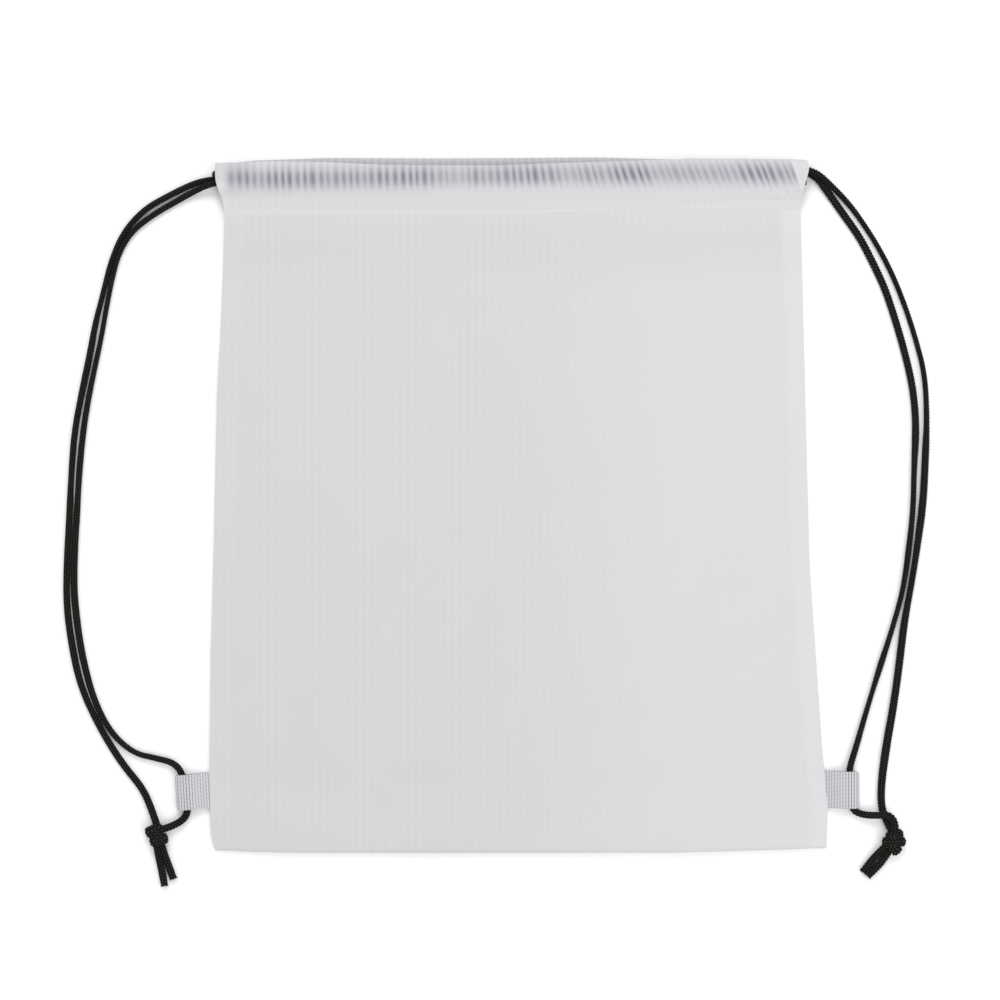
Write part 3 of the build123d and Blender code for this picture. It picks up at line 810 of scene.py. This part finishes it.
def casing(name, top_line, hem_line, outer_below=False):
    """A flattened tube of cloth with its double hem edge. outer_below turns it over, for the back."""
    face, crown, lining = np.linspace(0, 0.86, 30), np.linspace(0.885, 1, 9), np.linspace(0.985, 0.02, 20)
    share = np.concatenate([face, crown, lining])[:, None]
    outer = np.arange(len(share))[:, None] < len(face) + len(crown)
    wall = np.interp(share, *np.array(OUTER_WALL).T)
    wall = np.where(outer, wall, np.interp(share, *np.array(INNER_WALL).T))
    across = np.linspace(0, 1, 441)[None, :]
    near_x = -172 + 343 * across
    hem_y, top_y = along(hem_line, near_x), along(top_line, near_x)
    y = hem_y + share * (top_y - hem_y)
    x = along(LEFT_END, y) * (1 - across) + along(RIGHT_END, y) * across
    # The band is where the cords lie, and between the two end folds is where they show.
    hollow, strength = crinkles(x, y)
    off_band = y - (BAND_Y + BAND_RISE * soft_step((x + 160) / 300))
    band = np.exp(-(np.abs(off_band) / BAND_HALF) ** 2.4)
    right_fold_x = 159.8 + (200.0 - y) * 0.33
    left_fold_x = -169.6 - 0.06 * (y - 190)
    inside = soft_step((x + 168.5) / 3.5) * soft_step((right_fold_x - x) / 1.6)
    reach = band + 0.18 * soft_step((y - 174) / 10) * (1 - band)
    sink = 0.62 * (hollow - 0.45) * strength * reach * inside
    off_stitch = y - along(STITCH_LINE, x)
    stitch = np.exp(-((off_stitch / 0.8) ** 2)) * (0.16 + 0.10 * np.cos(tau * x / STITCH_PITCH))
    crumple = soft_step(1 - np.abs(x - 153) / 16) * soft_step(1 - np.abs(y - 176.5) / 6)
    crumple = crumple * 0.35 * np.sin(x * 1.9) * np.sin(y * 1.3 + x * 0.4)
    height = wall - np.where(outer, sink + stitch - crumple, 0)
    height = height * (1 - settling(x) * soft_step((184 - y) / 8))
    if outer_below:
        under = 0.43 + 2.7 * np.clip((share - 0.86) / 0.14, 0, 1) ** 2
        height = np.where(outer, under, BACK_INSIDE - height)
    else:
        height = height + front_base(x)
    grid = np.stack(np.broadcast_arrays(x, y, height), -1)
    # The cords' black, strongest in the hollows, and a little above the band, at the stitches and the ends.
    # Painted shade darkens the casing towards its left end, and painted shadow lies on the back casing's top
    # strip.
    touch = band * inside * (0.30 + 0.62 * hollow * strength)
    touch = touch + 0.15 * (0.4 + hollow * strength) * inside * soft_step((y - 192) / 3) * (1 - band)
    needle = np.exp(-((off_stitch / 0.55) ** 2)) * (0.5 - 0.5 * np.cos(tau * x / STITCH_PITCH)) ** 3
    # Its second part is painted shade, darker towards the casing's left end.
    ends = soft_step((y - 184) / 6) * (0.05 * (1 - inside) + 0.09 * soft_step((-146 - x) / 14))
    touch = touch + 0.13 * needle + ends
    if outer_below:
        # Painted shadow on the back casing's top strip, in the shade between the two casings, over the cords'
        # black.
        touch = np.maximum(touch, (0.22 + 0.12 * hollow) * soft_step((share - 0.8) / 0.1))
    # The cloth's own layers, whitest along the two end folds, and painted light that whitens it a little
    # towards the right.
    ridge = np.exp(-(((x - right_fold_x) / 0.5) ** 2)) + 0.8 * np.exp(-(((x - left_fold_x) / 0.5) ** 2))
    ridge = ridge * soft_step((y - 180) / 4)
    doubled = 0.56 + 0.06 * soft_step((x - 40) / 80) + 0.70 * ridge + 0.12 * (1 - inside)
    return cloth_piece(name, grid[::-1], closed=True, touch=touch[::-1], doubled=doubled[::-1], wall=0.25)


front_casing = casing("front_mouth_casing", FRONT_TOP, HEM_LINE)
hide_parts("front_casing")
follow_mouth(front_casing)
back_casing = casing("back_mouth_casing", BACK_TOP, BACK_HEM_LINE, outer_below=True)
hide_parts("back_casing")
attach(back_casing, "bag")


# ---- Casing stitches ----
# One row of machine stitches holds each hem down, and a short row across each casing's end holds the end's
# turned-in edge. The crinkled cloth gathers a little along the front row.
END_STITCHES = 7


def casing_surface(x, y, flat=1.0):
    """Height of the front casing's upper face, uncrinkled; flat is how far its ends are pressed down."""
    share = (y - along(HEM_LINE, x)) / (along(FRONT_TOP, x) - along(HEM_LINE, x))
    return front_base(x) + np.interp(share, *np.array(OUTER_WALL).T) * (1 - settling(x) * flat)


def go_with(face, piece):
    """Hands a piece of the front to follow_mouth, and attaches a piece of the back to the bag; each is sewn
    in or runs in that cloth.
    """
    if face == "front":
        follow_mouth(piece)
    else:
        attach(piece, "bag")


for face in ("front", "back"):
    x = np.arange(-166.0, 163.5, STITCH_PITCH)
    if face == "front":
        y = along(STITCH_LINE, x)
        z = casing_surface(x, y) - 0.08
    else:
        y = np.full_like(x, 172.6)
        z = np.full_like(x, BACK_INSIDE)
    row = dashes(f"{face}_hem_stitches", list(zip(x, y, z)), [(1, 0, 0)] * len(x), length=2.4)
    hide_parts(f"{face}_casing_thread")
    go_with(face, row)
END_ROWS = {"left": ((-166.9, 178.5), (-171.8, 197.4)), "right": ((163.6, 178.5), (165.9, 199.0))}
for side, (foot, head) in END_ROWS.items():
    heading = (head[0] - foot[0], head[1] - foot[1], 0)
    share = np.linspace(0.03, 0.97, END_STITCHES)
    x, y = foot[0] + heading[0] * share, foot[1] + heading[1] * share
    for face in ("front", "back"):
        if face == "front":
            z = casing_surface(x, y, flat=soft_step((184 - y) / 8)) + 0.02
        else:
            z = np.full_like(x, 5.1)
        spots = list(zip(x, y, z))
        row = dashes(f"{side}_{face}_end_stitches", spots, [heading] * END_STITCHES, length=2.1)
        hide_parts(f"{side}_{face}_casing_end_thread")
        go_with(face, row)


# ---- Cords inside the casings ----
# Each cord runs through the back casing, turns round the far end and comes back through the front casing.
# They lie side by side, hidden but for the turns, one of which stands out of the left end.
RUN_Y = {"left": 187.0, "right": 191.6}
RUN_ENDS = {"left": (-168.5, 164.6), "right": (166.0, -172.2)}
LOOP_TIP = {"left": 167.2, "right": -173.7}
BACK_RUN_Z = 2.75
FRONT_RUN_RISE = 2.2
for side in ("left", "right"):
    run_y = RUN_Y[side]
    start_x, end_x = RUN_ENDS[side]
    for face in ("back", "front"):
        points = []
        for share in (0, 0.04, 0.25, 0.5, 0.75, 0.96, 1):
            run_x = start_x + (end_x - start_x) * share
            run_z = BACK_RUN_Z if face == "back" else front_base(run_x) + FRONT_RUN_RISE
            points.append((run_x, run_y, run_z))
        line = route_line(points)
        run_name = f"{side}_cord_in_{face}_casing"
        run = braided_tube(run_name, line, [(0, 4.0), (1, 4.0)], bulk=12.8, step=1.0 * MM, sides=12)
        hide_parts(f"{side}_cord_{face}_run")
        points[0][2] * MM
        go_with(face, run)
    out = 1 if end_x > 0 else -1
    high = front_base(end_x) + FRONT_RUN_RISE
    loop = [
        (end_x, run_y, BACK_RUN_Z), (end_x + out, run_y, BACK_RUN_Z), (LOOP_TIP[side], run_y, 3.4),
        (LOOP_TIP[side], run_y, high - 0.6), (end_x + out, run_y, high), (end_x, run_y, high),
    ]
    turn = braided_tube(f"{side}_cord_loop", route_line(loop), [(0, 4.0), (1, 4.0)], bulk=13.6)
    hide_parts(f"{side}_cord_turn")
    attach(turn, "bag")


# ---- Tabs ----
# White ribbed grosgrain about 21 mm wide, folded double with its two ends sewn into the side seam, so that
# it makes a flat loop for the strap's inner strand to pass through.
RIB = 1.62
KNUCKLE = 0.78


def webbing_material():
    """White grosgrain with painted shade: grey between the light knuckles along each rib, and dark grooves
    between ribs.
    """
    material, maths, output = new_material("white ribbed webbing")
    uv = maths.out(maths.node("ShaderNodeUVMap", {"uv_map": "webbing"}))
    place = maths.node("ShaderNodeSeparateXYZ", None, Vector=uv)
    across = maths.out(place, 1)
    crown = maths.out(maths.node("ShaderNodeAttribute", {"attribute_name": "crown"}), "Fac")
    touch = maths.out(maths.node("ShaderNodeAttribute", {"attribute_name": "touch"}), "Fac")
    knuckle = 0.5 + 0.5 * (across * (tau * 1000 / KNUCKLE)).sine()
    groove = 1.0 - crown
    # Painted shade: the grey between knuckles and the near-black grooves are shade on white webbing.
    hollow = groove * groove * (1.0 - 0.55 * knuckle)
    rib = maths.mix(knuckle, (0.40, 0.385, 0.42, 1), (0.68, 0.66, 0.70, 1))
    white = maths.mix(hollow * 1.5, rib, (0.14, 0.135, 0.155, 1))
    seen = maths.mix(hollow * touch, white, (0.05, 0.05, 0.08, 1))
    bump = maths.node("ShaderNodeBump", None, Height=knuckle * groove, Strength=0.6, Distance=0.00012)
    shader = maths.node(
        "ShaderNodeBsdfPrincipled",
        None,
        Base_Color=seen,
        Roughness=0.6,
        Normal=maths.out(bump),
        Specular_IOR_Level=0.3,
        Sheen_Weight=0.06,
    )
    maths.tree.links.new(shader.outputs[0], output.inputs[0])
    return material


WEBBING = webbing_material()
LOOP_SECTION = [
    (-5.0, 0.75), (0.0, 0.8), (6.0, 0.8), (13.0, 0.8), (17.0, 0.85), (19.6, 1.0), (20.7, 2.4), (20.4, 4.4),
    (17.8, 5.4), (13.0, 5.8), (8.0, 4.6), (4.0, 2.7), (1.2, 1.65), (-2.0, 1.4), (-5.0, 1.4),
]
WEB_HALF_THICKNESS = 0.34
RIB_HEIGHT = 0.17


def ribbed_section():
    """The webbing's loop from its edge: its outline, and its middle line, ribs and run for each face."""
    line = route_line([(x, 0, z) for x, z in LOOP_SECTION]) / MM
    runs = np.concatenate([[0], np.cumsum(np.linalg.norm(np.diff(line, axis=0), axis=1))])
    run = np.arange(0, runs[-1], 0.2)
    middle = np.stack([np.interp(run, runs, line[:, 0]), np.interp(run, runs, line[:, 2])], 1)
    steer = np.gradient(middle, axis=0)
    steer /= np.linalg.norm(steer, axis=1)[:, None]
    crown = np.abs(np.sin(pi * run / RIB)) ** 0.9
    aside = np.stack([steer[:, 1], -steer[:, 0]], 1) * (WEB_HALF_THICKNESS + RIB_HEIGHT * crown)[:, None]
    outline = np.concatenate([middle + aside, (middle - aside)[::-1]])
    both_ways = [np.concatenate([values, values[::-1]]) for values in (middle, crown, run)]
    return outline, *both_ways


def webbing_tab(side, outward, root_x, middle_y, half_wide, tilt, slant, cord_x):
    """One tab. Its loop stands outward from root_x, tilted and slanted a little, over the cord at cord_x."""
    outline, middle, ribs, run = ribbed_section()
    across = np.concatenate([[-1, -1], np.linspace(-1, 1, 26), [1, 1]])[:, None]
    pinch = np.concatenate([[0.0, 0.7], np.ones(26), [0.7, 0.0]])[:, None]
    tab_x, tab_z = (middle[:, k] + (outline[:, k] - middle[:, k]) * pinch for k in (0, 1))
    corner = np.clip((middle[:, 0] - 18.6) / 2.2, 0, 1) ** 2
    tab_y = across * (half_wide + 0.24 * ribs - 0.7 * corner) + across * (pinch < 1) * 0.12
    real_x = outward * (root_x + tab_x) + slant * tab_y
    real_y = middle_y + tab_y - tilt * tab_x
    grid = np.stack([real_x, real_y, np.maximum(tab_z, 0.15)], -1)
    rows, columns = grid.shape[:2]
    faces = []
    for i in range(rows - 1):
        low, high = i * columns, (i + 1) * columns
        for j in range(columns):
            k = (j + 1) % columns
            faces.append((low + j, low + k, high + k, high + j))
    name = f"{side}_webbing_tab"
    mesh = bpy.data.meshes.new(name)
    mesh.from_pydata([tuple(p) for p in grid.reshape(-1, 3) * MM], [], faces)
    near = np.exp(-(((tab_x - cord_x) / 2.6) ** 2)) * (tab_z > 4)
    for key, value in (("crown", ribs), ("touch", near)):
        spread = np.broadcast_to(value, (rows, columns)).astype(np.float32)
        mesh.attributes.new(key, "FLOAT", "POINT").data.foreach_set("value", spread.ravel())
    owner = np.empty(len(mesh.loops), np.int32)
    mesh.loops.foreach_get("vertex_index", owner)
    flat = np.stack(np.broadcast_arrays(run, tab_y), -1).reshape(-1, 2) * MM
    mesh.uv_layers.new(name="webbing").data.foreach_set("uv", flat[owner].astype(np.float32).ravel())
    closing = bmesh.new()
    closing.from_mesh(mesh)
    bmesh.ops.remove_doubles(closing, verts=closing.verts, dist=0.00001)
    bmesh.ops.recalc_face_normals(closing, faces=closing.faces)
    closing.to_mesh(mesh)
    closing.free()
    mesh.materials.append(WEBBING)
    mesh.shade_smooth()
    tab = bpy.data.objects.new(name, mesh)
    bpy.context.scene.collection.objects.link(tab)
    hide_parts(f"{side}_tab")
    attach(tab, "bag")
    spots = [(outward * (root_x - 1.6), middle_y + shift, 1.85) for shift in (-8.4, -4.2, 0.0, 4.2, 8.4)]
    bar = dashes(f"{side}_tab_stitches", spots, [(0, 1, 0)] * len(spots), length=2.6)
    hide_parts(f"{side}_tab_thread")
    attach(bar, "bag")


webbing_tab("left", -1, root_x=175.6, middle_y=-165.0, half_wide=9.9, tilt=0.08, slant=-0.06, cord_x=13.9)
webbing_tab("right", 1, root_x=178.6, middle_y=-164.8, half_wide=10.45, tilt=0.005, slant=0.0, cord_x=15.9)


# ---- Floor and light ----
# A pale seamless floor, lit softly from all round, with a key light from beyond the mouth and a weaker one
# from the lower right.
bpy.ops.object.select_all(action="DESELECT")
bpy.ops.mesh.primitive_plane_add(size=8, location=(0, 0, 0))
floor = bpy.context.object
floor.name = "floor"
floor_material, maths, output = new_material("pale floor")
floor_shader = maths.node("ShaderNodeBsdfPrincipled", None, Base_Color=(0.94, 0.94, 0.94, 1), Roughness=0.9)
maths.tree.links.new(floor_shader.outputs[0], output.inputs[0])
floor.data.materials.append(floor_material)

world = bpy.data.worlds.new("soft room")
world.use_nodes = True
world.node_tree.nodes["Background"].inputs["Color"].default_value = (1, 1, 1, 1)
world.node_tree.nodes["Background"].inputs["Strength"].default_value = 0.87
bpy.context.scene.world = world
bpy.context.scene.view_settings.view_transform = "Standard"


def softbox(name, place, aim, size, power):
    """A square studio light at a place, turned towards a point."""
    bpy.ops.object.light_add(type="AREA", location=place)
    lamp = bpy.context.object
    lamp.name = name
    lamp.data.size = size
    lamp.data.energy = power
    lamp.rotation_euler = (Vector(aim) - Vector(place)).to_track_quat("-Z", "Y").to_euler()


softbox("key light", place=(-0.15, 1.4, 1.5), aim=(0, 0, 0), size=0.9, power=15)
softbox("fill light", place=(1.1, -0.9, 1.6), aim=(0, 0, 0), size=1.4, power=12)
